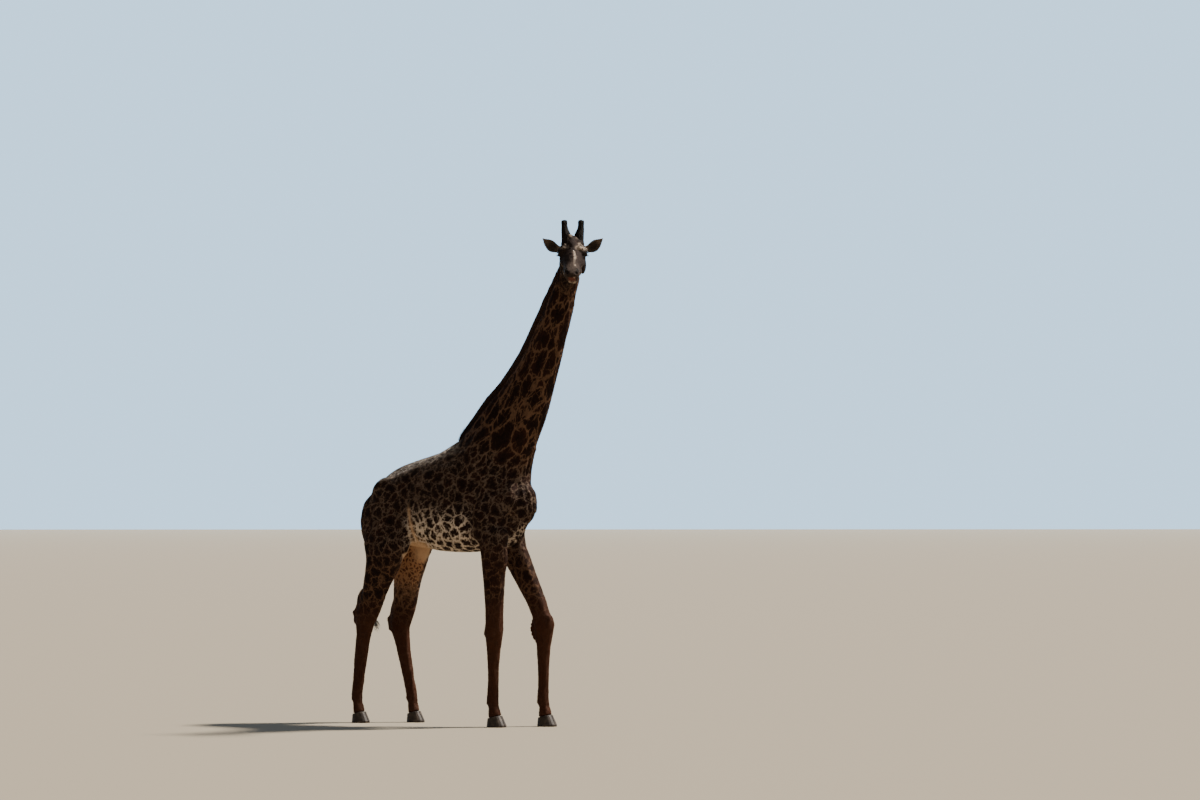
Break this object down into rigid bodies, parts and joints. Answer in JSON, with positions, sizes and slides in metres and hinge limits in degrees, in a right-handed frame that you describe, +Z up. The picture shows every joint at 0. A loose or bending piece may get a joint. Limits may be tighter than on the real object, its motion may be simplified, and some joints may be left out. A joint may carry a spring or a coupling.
{
  "type": "giraffe",
  "caption": "Life-size still figure of an adult male giraffe in mid-step, neck raised and head turned to its right.",
  "frame": {"origin": "on the ground, under the middle of the whole figure's box", "axes": "+X the way the body faces, +Y to the animal's left, +Z up"},
  "size_m": [2.9716, 0.8164, 5.1788],
  "materials": {
    "hide": "short flat hair, dark jagged patches on tan and cream",
    "horn_hair": "short dark hair over bone, worn bald at the tip",
    "eye": "wet, near black",
    "mane_hair": "stiff upright brown hair",
    "tassel_hair": "long black hair",
    "hoof_horn": "dusty grey-brown horn"
  },
  "bodies": {
    "root": {"head": "hide", "neck_upper": "hide", "neck_lower": "hide", "trunk": "hide", "ear_left": "hide", "ear_right": "hide", "foreleg_left_upper": "hide", "foreleg_left_lower": "hide", "foreleg_right_upper": "hide", "foreleg_right_lower": "hide", "hindleg_left_upper": "hide", "hindleg_left_lower": "hide", "hindleg_right_upper": "hide", "hindleg_right_lower": "hide", "ossicone_left": "horn_hair", "ossicone_right": "horn_hair", "eye_left": "eye", "eye_right": "eye", "tail_tassel": "tassel_hair", "hoof_fore_left_left_toe": "hoof_horn", "hoof_fore_left_right_toe": "hoof_horn", "hoof_fore_right_left_toe": "hoof_horn", "hoof_fore_right_right_toe": "hoof_horn", "hoof_hind_left_left_toe": "hoof_horn", "hoof_hind_left_right_toe": "hoof_horn", "hoof_hind_right_left_toe": "hoof_horn", "hoof_hind_right_right_toe": "hoof_horn", "tail": "hide", "mane": "mane_hair"}
  },
  "joints": []
}
